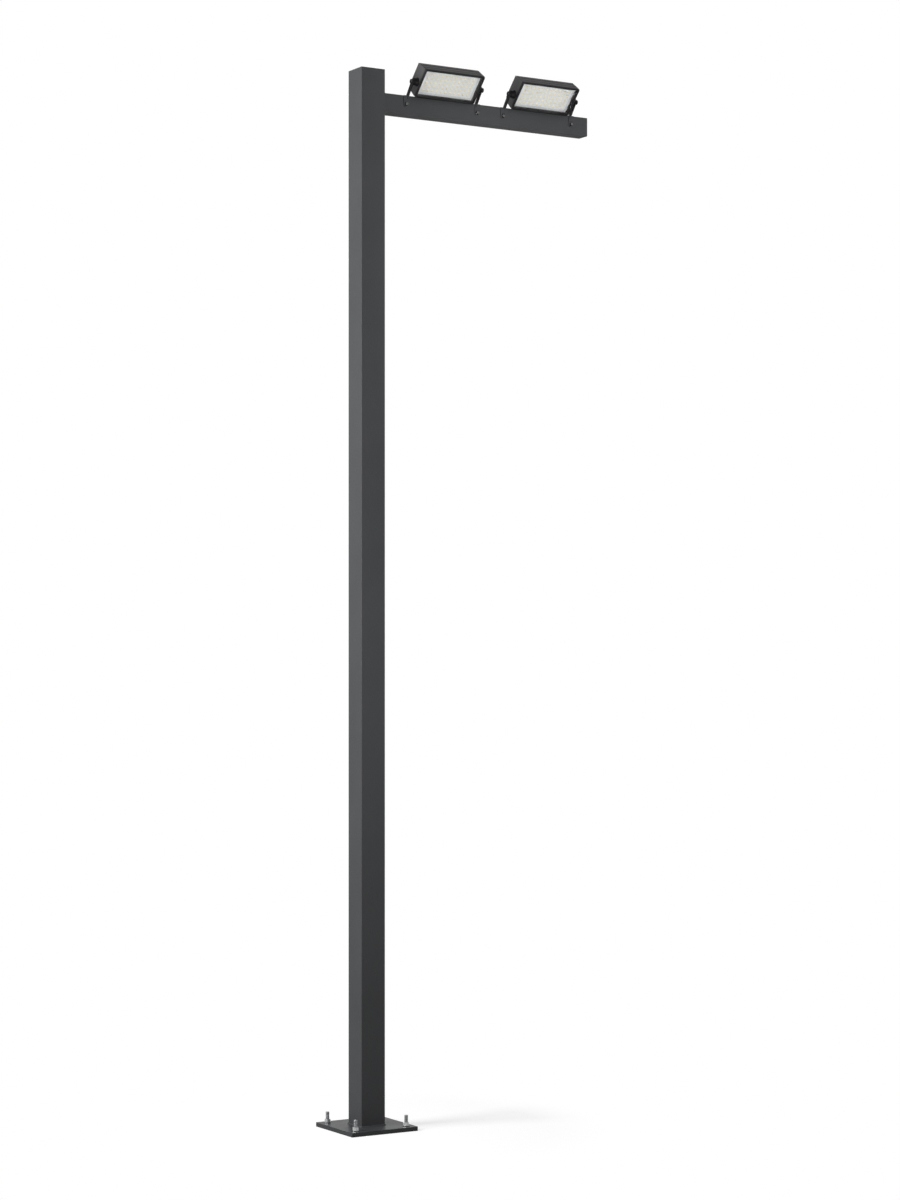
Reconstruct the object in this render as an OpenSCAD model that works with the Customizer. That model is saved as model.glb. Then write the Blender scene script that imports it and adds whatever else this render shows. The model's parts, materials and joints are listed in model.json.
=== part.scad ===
// Square-section floodlight column: a base plate on four anchor bolts, a square tube post,
// one welded side arm, and two tilting LED floodlights that look to the front (-Y).
// Millimetres, +Z up, +X along the arm. The origin is on the ground, on the axis of the post.

/* [Column] */
// Overall height, ground to the top of the cap
column_h = 5500; // [3000:50:8000]
// Outside width of the square post
post_w = 140; // [120:5:200]
// Wall of the post
post_wall = 5; // [3:0.5:8]
// Outside corner radius of the post
post_corner_r = 10; // [9:0.5:16]
// Thickness of the top cap
cap_t = 5; // [3:0.5:10]
// Leg of the fillet welds
weld_leg = 6; // [3:0.5:9]

/* [Base] */
// Side of the square base plate
plate_w = 390; // [350:5:500]
// Thickness of the base plate
plate_t = 22; // [12:1:40]
// Radius of the plate's corners
plate_corner_r = 4; // [1:0.5:20]
// Cable entry through the middle of the plate
cable_hole_d = 110; // [60:5:120]
// Anchor bolts in from the edges of the plate
anchor_edge = 45; // [35:1:55]

/* [Anchor bolts] */
// Outside diameter of the studs
stud_d = 20; // [16:1:24]
// Diameter of the studs at the threads' pitch line, where they pass the nuts
stud_pitch_d = 18.4; // [14:0.1:22]
// Height of the studs above the base plate
stud_rise = 58; // [45:1:90]
// Chamfer at the top of the studs
stud_chamfer = 2; // [0.5:0.5:3]
// Clearance hole in the plate
anchor_hole_d = 24; // [22:0.5:28]
// Nut size across its flats
nut_af = 30; // [26:1:36]
// Height of the nuts
nut_h = 18; // [12:1:24]
// Outside diameter of the washers
washer_d = 37; // [32:1:44]
// Thickness of the washers
washer_t = 3; // [2:0.5:5]

/* [Arm] */
// Length of the arm from the face of the post to its end
arm_l = 1285; // [1200:5:2400]
// Height of the arm's section
arm_h = 100; // [90:5:140]
// Depth of the arm's section, front to back
arm_d = 80; // [60:5:110]
// Wall of the arm
arm_wall = 4; // [3:0.5:6]
// Outside corner radius of the arm
arm_corner_r = 6; // [4.5:0.5:12]
// Thickness of the cap at the end of the arm
arm_cap_t = 5; // [3:0.5:10]
// Top of the column above the top of the arm
arm_drop = 115; // [40:5:400]

/* [Floodlights] */
// Share of the arm's free length before the first floodlight
first_gap_share = 0.348; // [0.2:0.001:0.45]
// Share of the arm's free length between the floodlights
middle_gap_share = 0.39; // [0.2:0.001:0.5]
// Angle by which the lens looks down from the horizontal
lamp_tilt = 44; // [0:1:90]
// Width over the end plates
lamp_w = 365; // [320:1:380]
// Height of the bezel
lamp_h = 175; // [168:1:182]
// Depth, front of the bezel to the tips of the fins
lamp_depth = 90; // [80:1:100]
// Pivot behind the front of the bezel
pivot_back = 34; // [28:1:40]
// Pivot above the bottom edge of the bezel
pivot_up = 75; // [70:1:78]
// Pivot in front of the arm
pivot_out = 54; // [50:1:66]
// Pivot above the arm
pivot_rise = 64; // [62:1:90]

/* [Bezel and glass] */
// Depth of the bezel frame
bezel_t = 12; // [9:0.5:16]
// Width of the bezel frame at the sides
bezel_side = 10; // [8:0.5:16]
// Width of the bezel frame at the top and bottom
bezel_edge = 10; // [8:0.5:16]
// Radius of the bezel's outer corners
bezel_r = 12; // [6:0.5:20]
// Radius of the bezel's rounded front edge
bezel_front_r = 6; // [3:0.5:7]
// Radius of the window's corners
window_r = 4; // [2:0.5:8]
// Thickness of the glass
glass_t = 4; // [3:0.5:5]
// Width by which the glass laps behind the bezel
glass_lap = 5; // [4:0.5:6]

/* [Housing] */
// Thickness of the end plates
end_t = 6; // [4:0.5:8]
// Width of the seam between an end plate and the housing
seam_w = 3; // [1:0.5:3.5]
// Depth of that seam
seam_depth = 2; // [1:0.25:3]
// Step from the bezel's edge to the housing
body_step = 5; // [3:0.5:7]
// Fall of the top wall towards the back
top_fall = 13; // [6:0.5:20]
// Chamfer along the lower back edge
back_chamfer = 20; // [18:0.5:26]
// Depth of the light box behind the glass
box_depth = 15; // [12:0.5:18]
// Ledge behind the glass around the light box
box_ledge = 2; // [1:0.5:4]
// Depth of the cooling fins
fin_depth = 28; // [16:1:32]
// Thickness of a fin
fin_t = 3; // [2:0.25:4]
// Number of cooling fins
fin_n = 11; // [7:1:13]
// Depth of the grooves along the top wall
groove_depth = 1.5; // [0.5:0.25:3]
// Width of the grooves along the top wall
groove_w = 7; // [4:0.5:9]
// Number of grooves along the top wall
groove_n = 2; // [1:1:4]

/* [Light-emitting board] */
// Thickness of the board
board_t = 2; // [1:0.25:3]
// Room around the board
board_gap = 1; // [0.5:0.25:2]
// Lenses in a row
led_cols = 11; // [6:1:14]
// Rows of lenses
led_rows = 5; // [3:1:6]
// Diameter of a lens
led_d = 13; // [8:0.5:16]
// Height of a lens
led_h = 6; // [3:0.5:8]
// Bare edge of the board beside the lenses
led_side = 28; // [10:1:40]
// Bare edge of the board above and below the lenses
led_edge = 21; // [10:1:30]

/* [Pivots and brackets] */
// Room between an end plate and its bracket
bracket_room = 25; // [20:0.5:40]
// Thickness of the bracket plates
bracket_t = 5; // [4:0.5:8]
// Diameter of the round eye at the pivot
eye_d = 28; // [28:1:34]
// Width of the strap below the eye
strap_w = 24; // [18:1:26]
// Width of the foot on the arm
foot_w = 30; // [28:1:40]
// Foot bolt to the outside of the strap
foot_out = 8; // [0:0.5:10]
// Diameter of the hub on the outside of the eye
hub_d = 25; // [23:0.5:27]
// Height of the hub on the outside of the eye
hub_h = 8; // [7:0.5:14]
// Depth by which the head of a pivot bolt sinks into the hub
head_sink = 5; // [4.5:0.25:6]
// Gap between the strap and the top of the arm
strap_gap = 1; // [0.5:0.25:3]
// Foot bolt below the top of the arm
foot_bolt_drop = 46; // [40:1:54]
// Diameter of the pivot and foot bolts
bolt_d = 10; // [8:1:12]
// Low round head of the pivot bolts, its diameter
pivot_head_d = 18; // [16:0.5:24]
// Low round head of the pivot bolts, its height
pivot_head_h = 4; // [3:0.5:6]
// Hexagon socket of the pivot bolts across its flats
socket_af = 6; // [4:0.5:8]
// Depth of that socket
socket_depth = 2.5; // [1.5:0.25:3]
// Head of the foot bolts across its flats
bolt_af = 16; // [13:1:18]
// Height of the foot bolts' heads
bolt_head_h = 6; // [5:0.5:9]
// Flange under the foot bolts' heads, its diameter
bolt_flange_d = 21; // [20:0.5:24]
// Flange under the foot bolts' heads, its thickness
bolt_flange_t = 2; // [1:0.25:3]
// Length of the bolts past the bracket
bolt_grip = 24; // [18:1:30]
// Diameter of the pivot boss at the bracket
boss_d = 38; // [28:1:42]
// Diameter of the boss's foot on the end plate
boss_foot_d = 46; // [43:1:56]
// Height of the boss's foot
boss_foot_h = 8; // [4:0.5:12]

/* [Cable gland] */
// Gland's hexagon across its flats
gland_af = 24; // [18:1:26]
// Height of the hexagon
gland_hex_h = 8; // [5:0.5:10]
// Diameter of the gland's dome nut
gland_d = 22; // [16:1:24]
// Length of the dome nut
gland_l = 13; // [8:0.5:15]
// Diameter of the dome nut at its mouth
gland_mouth_d = 17; // [14:0.5:22]
// Bore of the gland
gland_bore_d = 10; // [6:0.5:12]
// Diameter of the gland's pad between the fins
gland_pad_d = 36; // [30:1:44]
// Gland above the pivot
gland_up = 20; // [0:1:40]

/* [Fits] */
// Radial clearance of bolts and studs in their holes
hole_gap = 0.25; // [0.15:0.05:0.4]
// Running gap beside the pivots
pivot_gap = 0.4; // [0.3:0.05:0.6]
// Clearance around the glass
glass_gap = 0.3; // [0.2:0.05:0.6]

/* [Hidden] */
$fn = 48;

// Overrun of every cut past the face that it opens
cut = 1;

coat = "#47494c";
dark_coat = "#3a3b3d";
zinc = "#b4b6b8";
steel = "#8a8c8e";

// Column
anchor_pitch = plate_w - 2 * anchor_edge;
post_h = column_h - plate_t - cap_t;
post_top = plate_t + post_h;
arm_top = column_h - arm_drop;
arm_z = arm_top - arm_h / 2;
arm_tube_l = arm_l - arm_cap_t;
arm_start = post_w / 2;

// Floodlights along the arm, which share out the length that they leave free
bracket_pitch = lamp_w + 2 * bracket_room + bracket_t;
lamp_span = bracket_pitch + bracket_t + 2 * hub_h;
free_l = arm_l - 2 * lamp_span;
lamp_x = arm_start + first_gap_share * free_l + lamp_span / 2;
lamp_pitch = lamp_span + middle_gap_share * free_l;

// Floodlight, seen with its lens upright: origin on the pivot, front at -Y
front_y = -pivot_back;
bezel_back_y = front_y + bezel_t;
back_y = front_y + lamp_depth;
bottom_z = -pivot_up;
top_z = bottom_z + lamp_h;
window_w = lamp_w - 2 * bezel_side;
window_h = lamp_h - 2 * bezel_edge;
middle_z = (top_z + bottom_z) / 2;
box_w = window_w - 2 * box_ledge;
box_h = window_h - 2 * box_ledge;
box_back_y = bezel_back_y + box_depth;
body_w = lamp_w - 2 * end_t;
body_top_z = top_z - body_step;
body_bottom_z = bottom_z + body_step;
back_top_z = body_top_z - top_fall;
back_bottom_z = body_bottom_z + back_chamfer;
pivot_y = -arm_d / 2 - pivot_out;
pivot_z = arm_top + pivot_rise;

// Brackets
foot_bolt_z = arm_top - foot_bolt_drop;
strap_run = pivot_out - bracket_t;
strap_lean = atan2(strap_run, pivot_rise);
strap_l = sqrt(strap_run * strap_run + pivot_rise * pivot_rise) + strap_w;
ear_in_x = bracket_pitch / 2 - bracket_t / 2;
ear_out_x = bracket_pitch / 2 + bracket_t / 2;
head_seat_x = ear_out_x + hub_h - head_sink;
boss_l = ear_in_x - pivot_gap - lamp_w / 2;

// Flat shapes

// Rectangle with round corners, centred
module round_rect(w, h, r) {
  square([w - 2 * r, h], center = true);
  square([w, h - 2 * r], center = true);
  for (x = [-1, 1], y = [-1, 1])
    translate([x * (w / 2 - r), y * (h / 2 - r)]) circle(r);
}

// Section of a rectangular hollow tube
module tube_section(w, h, wall, r) {
  difference() {
    round_rect(w, h, r);
    round_rect(w - 2 * wall, h - 2 * wall, r - wall);
  }
}

// Fillet weld around a rectangular tube that stands on a face at z = 0
module fillet_weld(w, h, r, leg) {
  bead = [[0, 0], [leg, 0], [0, leg]];
  for (side = [0, 1]) rotate([0, 0, side * 180]) {
    translate([w / 2, h / 2 - r, 0]) rotate([90, 0, 0])
      linear_extrude(h - 2 * r) polygon(bead);
    translate([-w / 2 + r, h / 2, 0]) rotate([90, 0, 90])
      linear_extrude(w - 2 * r) polygon(bead);
    translate([w / 2 - r, h / 2 - r, 0])
      rotate_extrude(angle = 90) translate([r, 0]) polygon(bead);
    translate([-w / 2 + r, h / 2 - r, 0]) rotate([0, 0, 90])
      rotate_extrude(angle = 90) translate([r, 0]) polygon(bead);
  }
}

// Places

// Anchor bolt n, counted from the front left corner round the plate
module at_anchor(n) {
  sx = [-1, 1, 1, -1][n - 1];
  sy = [-1, -1, 1, 1][n - 1];
  translate([sx * anchor_pitch / 2, sy * anchor_pitch / 2, 0]) children();
}

// Middle of floodlight n on its pivot axis
module at_pivot(n) {
  translate([lamp_x + (n - 1) * lamp_pitch, pivot_y, pivot_z]) children();
}

// Frame of floodlight n, tilted
module at_lamp(n) {
  at_pivot(n) rotate([lamp_tilt, 0, 0]) children();
}

// Section in Y and Z, run along X and centred
module along_x(length) {
  translate([-length / 2, 0, 0]) rotate([90, 0, 90]) linear_extrude(length) children();
}

// Hexagon-headed flange bolt on +X: the head stands outside the plane x = 0
module flange_bolt(shank_l) {
  rotate([0, 90, 0]) {
    cylinder(h = bolt_flange_t, d = bolt_flange_d);
    translate([0, 0, bolt_flange_t])
      cylinder(h = bolt_head_h, d = bolt_af / cos(30), $fn = 6);
    translate([0, 0, -shank_l]) cylinder(h = shank_l + bolt_flange_t, d = bolt_d);
  }
}

// Bolt with a low domed head and a hexagon socket, on +X like the flange bolt
module round_head_bolt(shank_l) {
  dome_r = (pow(pivot_head_d / 2, 2) + pow(pivot_head_h, 2)) / (2 * pivot_head_h);
  rotate([0, 90, 0]) difference() {
    union() {
      intersection() {
        translate([0, 0, pivot_head_h - dome_r]) sphere(dome_r);
        cylinder(h = pivot_head_h, d = pivot_head_d);
      }
      translate([0, 0, -shank_l]) cylinder(h = shank_l + socket_depth / 2, d = bolt_d);
    }
    translate([0, 0, pivot_head_h - socket_depth])
      cylinder(h = socket_depth + cut, d = socket_af / cos(30), $fn = 6);
  }
}

// Column pieces

module base_plate() color(coat) difference() {
  linear_extrude(plate_t) round_rect(plate_w, plate_w, plate_corner_r);
  translate([0, 0, -cut]) cylinder(h = plate_t + 2 * cut, d = cable_hole_d);
  for (n = [1:4]) at_anchor(n)
    translate([0, 0, -cut]) cylinder(h = plate_t + 2 * cut, d = anchor_hole_d);
}

module post() color(coat) translate([0, 0, plate_t])
  linear_extrude(post_h) tube_section(post_w, post_w, post_wall, post_corner_r);

module post_weld() color(coat) translate([0, 0, plate_t])
  fillet_weld(post_w, post_w, post_corner_r, weld_leg);

module post_cap() color(coat) translate([0, 0, post_top])
  linear_extrude(cap_t) round_rect(post_w, post_w, post_corner_r);

module anchor_stud(n) color(zinc) at_anchor(n) {
  nut_top = plate_t + washer_t + nut_h + hole_gap;
  stud_top = plate_t + stud_rise;
  cylinder(h = nut_top, d = stud_pitch_d);
  translate([0, 0, nut_top]) cylinder(h = stud_top - stud_chamfer - nut_top, d = stud_d);
  translate([0, 0, stud_top - stud_chamfer])
    cylinder(h = stud_chamfer, d1 = stud_d, d2 = stud_d - 2 * stud_chamfer);
}

module anchor_washer(n) color(zinc) at_anchor(n) translate([0, 0, plate_t]) difference() {
  cylinder(h = washer_t, d = washer_d);
  translate([0, 0, -cut]) cylinder(h = washer_t + 2 * cut, d = stud_d + 2 * hole_gap);
}

// Nut with the corners of its hexagon turned off at both ends
module anchor_nut(n) color(zinc) at_anchor(n) translate([0, 0, plate_t + washer_t]) difference() {
  corner_d = nut_af / cos(30);
  turn = (corner_d - nut_af) / 2;
  turn_h = turn * tan(30);
  intersection() {
    cylinder(h = nut_h, d = corner_d, $fn = 6);
    rotate_extrude() polygon([
      [0, 0], [nut_af / 2, 0], [corner_d / 2, turn_h],
      [corner_d / 2, nut_h - turn_h], [nut_af / 2, nut_h], [0, nut_h]
    ]);
  }
  translate([0, 0, -cut]) cylinder(h = nut_h + 2 * cut, d = stud_pitch_d + 2 * hole_gap);
}

// Arm pieces

module arm() color(coat) difference() {
  translate([arm_start + arm_tube_l / 2, 0, arm_z]) along_x(arm_tube_l)
    tube_section(arm_d, arm_h, arm_wall, arm_corner_r);
  for (n = [1, 2], side = [-1, 1]) at_foot_bolt(n, side)
    rotate([90, 0, 0])
      cylinder(h = 2 * (arm_wall + cut), d = bolt_d + 2 * hole_gap, center = true);
}

module arm_weld() color(coat) translate([arm_start, 0, arm_z]) rotate([0, 90, 0])
  fillet_weld(arm_h, arm_d, arm_corner_r, weld_leg);

module arm_end_cap() color(coat)
  translate([arm_start + arm_l - arm_cap_t / 2, 0, arm_z]) along_x(arm_cap_t)
    round_rect(arm_d, arm_h, arm_corner_r);

// Bracket pieces: side is -1 at the left and +1 at the right

// Foot bolt's place on the front face of the arm
module at_foot_bolt(n, side) {
  foot_x = lamp_x + (n - 1) * lamp_pitch + side * (bracket_pitch / 2 + foot_out);
  translate([foot_x, -arm_d / 2, foot_bolt_z]) children();
}

// Foot on the arm with a strap that leans forward to the round eye of the pivot; a hub on the
// outside of the eye takes the head of the pivot bolt
module bracket(n, side) color(dark_coat) difference() {
  union() {
    at_foot_bolt(n, side) rotate([90, 0, 0]) linear_extrude(bracket_t) {
      circle(foot_w / 2);
      translate([-foot_w / 2, 0]) square([foot_w, foot_bolt_drop]);
    }
    at_pivot(n) translate([side * bracket_pitch / 2, 0, 0]) along_x(bracket_t) {
      circle(eye_d / 2);
      difference() {
        rotate(strap_lean) translate([-strap_w / 2, -strap_l]) square([strap_w, strap_l]);
        translate([strap_run + bracket_t / 2, -pivot_rise + strap_gap - 2 * strap_l])
          square(2 * strap_l);
      }
    }
    at_pivot(n) translate([side * bracket_pitch / 2, 0, 0]) rotate([0, side * 90, 0])
      cylinder(h = bracket_t / 2 + hub_h, d = hub_d);
  }
  at_foot_bolt(n, side) rotate([90, 0, 0])
    cylinder(h = 4 * bracket_t, d = bolt_d + 2 * hole_gap, center = true);
  at_pivot(n) translate([side * bracket_pitch / 2, 0, 0]) rotate([0, 90, 0])
    cylinder(h = 2 * (bracket_t + hub_h), d = bolt_d + 2 * hole_gap, center = true);
  at_pivot(n) translate([side * head_seat_x, 0, 0]) rotate([0, side * 90, 0])
    cylinder(h = head_sink + cut, d = pivot_head_d + 2 * hole_gap);
}

module foot_bolts(n) color(steel) for (side = [-1, 1]) at_foot_bolt(n, side)
  translate([0, -bracket_t, 0]) rotate([0, 0, -90]) flange_bolt(bracket_t + bolt_grip);

// Floodlight pieces

// Outline of the housing from the side, with the lens upright, set in all round behind the bezel
function side_outline(inset) = [
  [bezel_back_y, body_bottom_z + inset],
  [back_y - back_chamfer - inset * tan(22.5), body_bottom_z + inset],
  [back_y - inset, back_bottom_z + inset * tan(22.5)],
  [back_y - inset, back_top_z - inset],
  [bezel_back_y, body_top_z - inset]
];

// Extruded section: walls, cooling fins to the back and grooves along the top wall
module housing_section() difference() {
  polygon(side_outline(0));
  pitch = (back_top_z - back_bottom_z - fin_t) / (fin_n - 1);
  for (i = [0:fin_n - 2])
    translate([back_y - fin_depth, back_bottom_z + fin_t + i * pitch])
      square([fin_depth + cut, pitch - fin_t]);
  top_l = back_y - bezel_back_y;
  top_lean = atan2(-top_fall, top_l);
  translate([bezel_back_y, body_top_z]) rotate(top_lean) for (i = [1:groove_n])
    translate([i * top_l / (groove_n + 1) - groove_w / 2, -groove_depth])
      square([groove_w, groove_depth + cut]);
}

module housing(n) color(dark_coat) at_lamp(n) difference() {
  union() {
    along_x(body_w) housing_section();
    at_gland() rotate([180, 0, 0]) cylinder(h = fin_depth + cut, d = gland_pad_d);
  }
  translate([0, box_back_y, middle_z]) rotate([90, 0, 0])
    linear_extrude(box_depth + cut) round_rect(box_w, box_h, window_r);
}

// Plain end plate with the boss of the pivot, stepped back where it meets the housing
module end_plate(n, side) color(dark_coat) at_lamp(n) difference() {
  union() {
    translate([side * (lamp_w - end_t) / 2, 0, 0])
      along_x(end_t) polygon(side_outline(seam_depth));
    translate([side * (lamp_w - end_t + seam_w) / 2, 0, 0])
      along_x(end_t - seam_w) polygon(side_outline(0));
    translate([side * lamp_w / 2, 0, 0]) rotate([0, side * 90, 0]) {
      cylinder(h = boss_l, d = boss_d);
      cylinder(h = boss_foot_h, d1 = boss_foot_d, d2 = boss_d);
    }
  }
  translate([side * (ear_in_x - pivot_gap), 0, 0]) rotate([0, -side * 90, 0])
    translate([0, 0, -cut])
      cylinder(h = bolt_grip + cut, d = bolt_d + 2 * hole_gap);
}

// Frame with round corners and a round front edge; the glass sits in a rebate at its back
module bezel(n) color(dark_coat) at_lamp(n)
  translate([0, bezel_back_y, middle_z]) rotate([90, 0, 0]) difference() {
    union() {
      linear_extrude(bezel_t - bezel_front_r) round_rect(lamp_w, lamp_h, bezel_r);
      linear_extrude(bezel_t)
        round_rect(lamp_w - 2 * bezel_front_r, lamp_h - 2 * bezel_front_r, bezel_r - bezel_front_r);
      rounded_front();
    }
    translate([0, 0, -cut]) linear_extrude(bezel_t + 2 * cut)
      round_rect(window_w, window_h, window_r);
    translate([0, 0, -cut]) linear_extrude(glass_t + cut)
      round_rect(window_w + 2 * glass_lap, window_h + 2 * glass_lap, window_r + glass_lap);
  }

// Section of the bezel's front edge: a quarter round, with a strip inward that lies in the core
module front_edge() {
  front_lap = (bezel_r - bezel_front_r) / 2;
  intersection() {
    circle(bezel_front_r);
    square(bezel_front_r);
  }
  translate([-front_lap, 0]) square([front_lap, bezel_front_r]);
}

module front_corner() rotate_extrude(angle = 90)
  translate([bezel_r - bezel_front_r, 0]) front_edge();

// Front of the bezel: the section along the four sides and turned at the corners
module rounded_front() {
  core_w = lamp_w - 2 * bezel_r;
  core_h = lamp_h - 2 * bezel_r;
  translate([0, 0, bezel_t - bezel_front_r]) for (half = [0, 180]) rotate([0, 0, half]) {
    translate([-core_w / 2, lamp_h / 2 - bezel_front_r, 0]) rotate([90, 0, 90])
      linear_extrude(core_w) front_edge();
    translate([lamp_w / 2 - bezel_front_r, core_h / 2, 0]) rotate([90, 0, 0])
      linear_extrude(core_h) front_edge();
    translate([core_w / 2, core_h / 2, 0]) front_corner();
    translate([-core_w / 2, core_h / 2, 0]) rotate([0, 0, 90]) front_corner();
  }
}

module glass(n) color("#dfe3e6", 0.5) at_lamp(n)
  translate([0, bezel_back_y, middle_z]) rotate([90, 0, 0]) linear_extrude(glass_t - glass_gap)
    round_rect(window_w + 2 * (glass_lap - glass_gap), window_h + 2 * (glass_lap - glass_gap),
               window_r + glass_lap - glass_gap);

// Board at the bottom of the light box with a grid of dome lenses
module led_board(n) color("#e8e6dc") at_lamp(n)
  translate([0, box_back_y, middle_z]) rotate([90, 0, 0]) {
    board_w = box_w - 2 * board_gap;
    board_h = box_h - 2 * board_gap;
    step_x = (board_w - 2 * led_side - led_d) / (led_cols - 1);
    step_y = (board_h - 2 * led_edge - led_d) / (led_rows - 1);
    linear_extrude(board_t) round_rect(board_w, board_h, window_r - board_gap);
    for (i = [0:led_cols - 1], j = [0:led_rows - 1])
      translate([(i - (led_cols - 1) / 2) * step_x, (j - (led_rows - 1) / 2) * step_y, board_t])
        led_lens();
  }

// Domed lens with a short straight skirt
module led_lens() {
  skirt_share = 0.35;
  shoulder_share = 0.75;
  shoulder_r_share = 0.72;
  rotate_extrude() polygon([
    [0, 0], [led_d / 2, 0], [led_d / 2, led_h * skirt_share],
    [led_d / 2 * shoulder_r_share, led_h * shoulder_share], [0, led_h]
  ]);
}

// Bolt through the eye of the bracket into the boss
module pivot_bolt(n, side) color(steel) at_lamp(n)
  translate([side * (head_seat_x + pivot_gap), 0, 0]) rotate([0, 0, side < 0 ? 180 : 0])
    round_head_bolt(head_seat_x - ear_in_x + 2 * pivot_gap + bolt_grip - hole_gap);

// Foot of the gland on the tips of the fins, with Z to the back
module at_gland() {
  translate([0, back_y, gland_up]) rotate([-90, 0, 0]) children();
}

// Gland on its pad at the back of the housing
module cable_gland(n) color("#2a2b2c") at_lamp(n) at_gland() difference() {
  union() {
    cylinder(h = gland_hex_h, d = gland_af / cos(30), $fn = 6);
    translate([0, 0, gland_hex_h]) cylinder(h = gland_l, d1 = gland_d, d2 = gland_mouth_d);
  }
  translate([0, 0, -cut]) cylinder(h = gland_hex_h + gland_l + 2 * cut, d = gland_bore_d);
}

base_plate();
post();
post_weld();
post_cap();
arm();
arm_weld();
arm_end_cap();
for (n = [1:4]) {
  anchor_stud(n);
  anchor_washer(n);
  anchor_nut(n);
}
for (n = [1, 2]) {
  foot_bolts(n);
  housing(n);
  bezel(n);
  glass(n);
  led_board(n);
  cable_gland(n);
  for (side = [-1, 1]) {
    hand = side < 0 ? "left" : "right";
    bracket(n, side);
    end_plate(n, side);
    pivot_bolt(n, side);
  }
}
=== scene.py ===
import json
import math
import random

import bmesh
import bpy
from mathutils import Matrix, Vector

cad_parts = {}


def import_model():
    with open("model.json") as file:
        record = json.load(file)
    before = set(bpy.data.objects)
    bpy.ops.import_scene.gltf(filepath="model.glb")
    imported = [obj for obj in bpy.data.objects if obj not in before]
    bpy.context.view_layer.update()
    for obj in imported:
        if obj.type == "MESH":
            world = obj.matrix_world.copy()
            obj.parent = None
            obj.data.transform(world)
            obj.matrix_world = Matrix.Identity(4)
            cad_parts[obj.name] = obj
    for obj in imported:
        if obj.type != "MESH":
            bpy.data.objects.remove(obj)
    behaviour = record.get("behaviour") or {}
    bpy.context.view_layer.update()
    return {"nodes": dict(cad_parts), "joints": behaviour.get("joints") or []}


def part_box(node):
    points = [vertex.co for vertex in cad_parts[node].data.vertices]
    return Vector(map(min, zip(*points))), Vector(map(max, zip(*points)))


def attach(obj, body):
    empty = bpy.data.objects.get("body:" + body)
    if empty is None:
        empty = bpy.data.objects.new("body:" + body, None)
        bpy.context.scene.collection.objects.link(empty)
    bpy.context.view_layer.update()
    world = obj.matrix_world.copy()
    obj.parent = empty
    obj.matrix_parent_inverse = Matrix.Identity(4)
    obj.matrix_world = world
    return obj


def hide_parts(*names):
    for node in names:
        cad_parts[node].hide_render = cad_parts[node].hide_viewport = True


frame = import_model()
nodes = frame["nodes"]
LAMPS = (1, 2)
HANDS = ("left", "right")
ANCHORS = (1, 2, 3, 4)
SMOOTH_ANGLE = math.radians(35)


# Shader helpers

def new_material(name):
    """Material with its Principled shader; returns (material, node tree, shader)."""
    material = bpy.data.materials.new(name)
    material.use_nodes = True
    tree = material.node_tree
    return material, tree, tree.nodes["Principled BSDF"]


def object_coords(tree):
    """Output with the place in the object's own metres."""
    return tree.nodes.new("ShaderNodeTexCoord").outputs["Object"]


def noise(tree, scale, detail=4.0, roughness=0.55, stretch=(1.0, 1.0, 1.0)):
    """Noise in the object's own metres, drawn out along an axis where its stretch is small."""
    mapping = tree.nodes.new("ShaderNodeMapping")
    mapping.inputs["Scale"].default_value = stretch
    node = tree.nodes.new("ShaderNodeTexNoise")
    node.inputs["Scale"].default_value = scale
    node.inputs["Detail"].default_value = detail
    node.inputs["Roughness"].default_value = roughness
    tree.links.new(object_coords(tree), mapping.inputs["Vector"])
    tree.links.new(mapping.outputs["Vector"], node.inputs["Vector"])
    return node.outputs["Fac"]


def ramp(tree, factor, stops):
    """Colour ramp through (place, colour) stops."""
    node = tree.nodes.new("ShaderNodeValToRGB")
    elements = node.color_ramp.elements
    while len(elements) < len(stops):
        elements.new(0.5)
    for element, (place, colour) in zip(elements, stops):
        element.position = place
        element.color = (*colour, 1.0)
    tree.links.new(factor, node.inputs["Fac"])
    return node.outputs["Color"]


def spread(tree, factor, low, high):
    """Maps 0..1 to low..high."""
    node = tree.nodes.new("ShaderNodeMapRange")
    node.inputs["To Min"].default_value = low
    node.inputs["To Max"].default_value = high
    tree.links.new(factor, node.inputs["Value"])
    return node.outputs["Result"]


def combine(tree, operation, first, second):
    """Result of a math node on an output and a second output or number."""
    node = tree.nodes.new("ShaderNodeMath")
    node.operation = operation
    tree.links.new(first, node.inputs[0])
    if isinstance(second, float):
        node.inputs[1].default_value = second
    else:
        tree.links.new(second, node.inputs[1])
    return node.outputs["Value"]


def bump(tree, height, distance, strength, shader):
    """Bump of that height, in metres, on the shader."""
    node = tree.nodes.new("ShaderNodeBump")
    node.inputs["Distance"].default_value = distance
    node.inputs["Strength"].default_value = strength
    tree.links.new(height, node.inputs["Height"])
    tree.links.new(node.outputs["Normal"], shader.inputs["Normal"])


def shade(colour, share):
    """The colour times a share."""
    return tuple(c * share for c in colour)


def uneven_tone(tree, factor, colour, share):
    """The colour, darker and lighter by a share as the factor goes."""
    return ramp(tree, factor, [(0.3, shade(colour, 1 - share)), (0.7, shade(colour, 1 + share))])


# Materials; scales are per metre, relief is in metres

COAT_ROUGH = (0.46, 0.6)
SATIN_ROUGH = (0.36, 0.48)
ZINC_ROUGH = (0.24, 0.42)
BOLT_ROUGH = (0.2, 0.32)
CLOUD_SCALE = 2.2
GLOSS_SCALE = 14.0
PEEL_SCALE = 900.0
PEEL_RELIEF = 0.00012
FINE_SCALE = 1600.0
FINE_RELIEF = 0.0001
COAT_BUMP = 0.35
STREAK_SCALE = 90.0
ALONG_X = (0.03, 1.0, 1.0)
CRYSTAL_SCALE = 260.0
PIT_SCALE = 700.0
PIT_RELIEF = 0.0001
PIT_BUMP = 0.3
MOULD_RELIEF = 0.00006
MOULD_BUMP = 0.4
GLASS_TINT = (0.99, 1.0, 1.0)
GLASS_IOR = 1.45
HAZE = (0.0, 0.06)


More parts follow.
